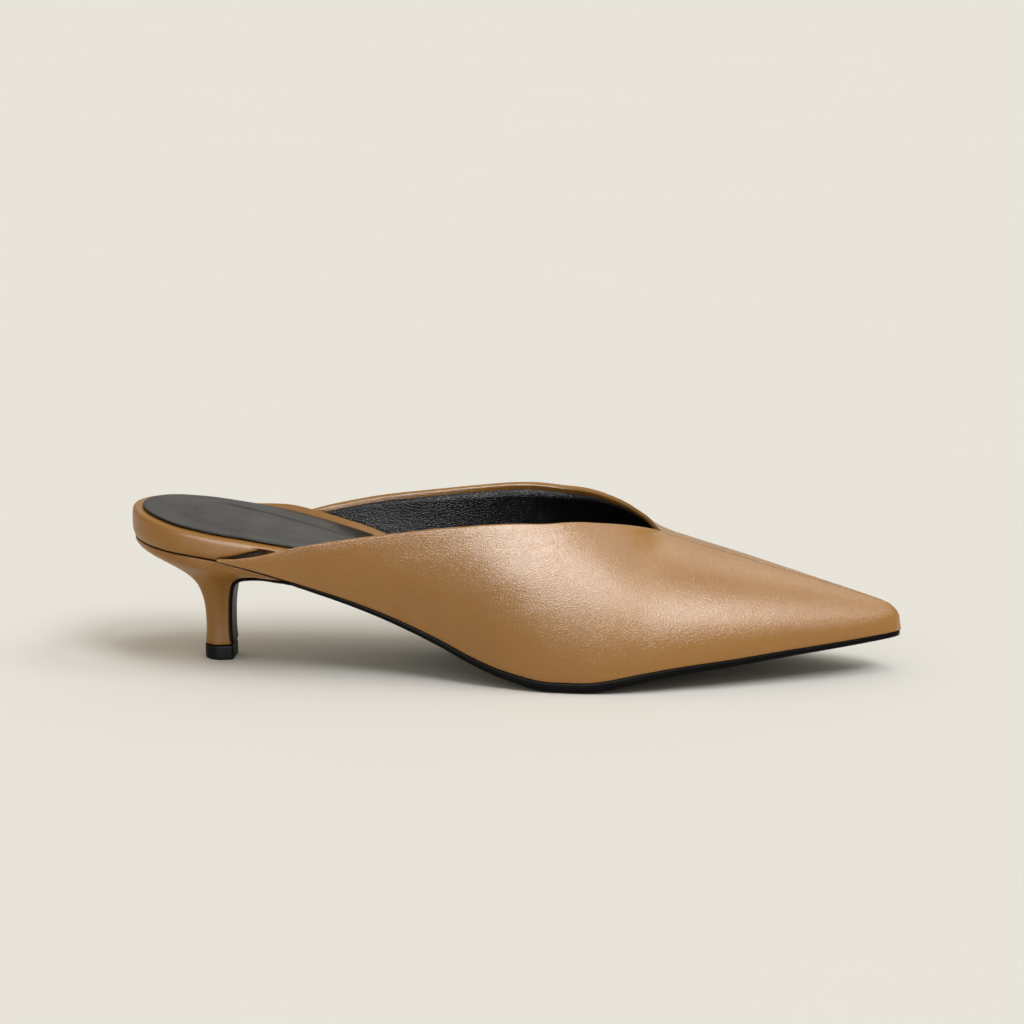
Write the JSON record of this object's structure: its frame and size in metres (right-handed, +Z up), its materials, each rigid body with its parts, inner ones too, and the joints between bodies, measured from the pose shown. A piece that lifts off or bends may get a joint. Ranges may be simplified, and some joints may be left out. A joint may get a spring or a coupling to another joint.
{
  "type": "mule shoe",
  "caption": "Pointed-toe backless mule for a right foot, with a low slim heel, V-cut collar, thin dark sole and padded insole in a leather-wrapped footbed.",
  "frame": {"origin": "on the floor plane, under the middle of the shoe's bounding box", "axes": "+X to the toe, +Y to the inner (medial) side of the right foot, +Z up"},
  "size_m": [0.262, 0.0758, 0.0571],
  "materials": {
    "tan_leather": "semi-gloss fine grain",
    "black_leather": "satin, pebbled lining and smooth insole",
    "sole_black": "satin edge",
    "heel_rubber": "matte"
  },
  "bodies": {
    "root": {"upper": "tan_leather", "heel": "tan_leather", "footbed": "tan_leather", "sock": "black_leather", "outsole": "sole_black", "top_piece": "heel_rubber"}
  },
  "joints": []
}
